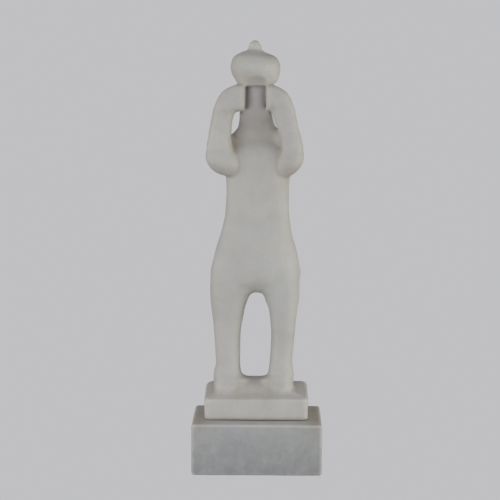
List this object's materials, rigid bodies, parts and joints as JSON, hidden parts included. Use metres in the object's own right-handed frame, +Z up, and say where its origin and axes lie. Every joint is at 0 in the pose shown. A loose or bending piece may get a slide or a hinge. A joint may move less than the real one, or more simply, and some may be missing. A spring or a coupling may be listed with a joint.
{
  "type": "cycladic figurine",
  "caption": "Standing marble figurine in the Cycladic manner, head thrown back, both hands raising a knobbed vessel over its face, on a low plinth and rectangular base.",
  "frame": {"origin": "middle of the base's underside", "axes": "+Z up; the figure faces -Y; +X is to the right of someone facing the figure"},
  "size_m": [0.09, 0.063, 0.2978],
  "materials": {
    "figure_marble": "matt white marble, softly translucent, faintly mottled, edges worn round",
    "base_marble": "matt white marble with faint grey-blue clouds, sawn faces, softened edges"
  },
  "bodies": {
    "root": {"figure": "figure_marble", "base": "base_marble"}
  },
  "joints": []
}
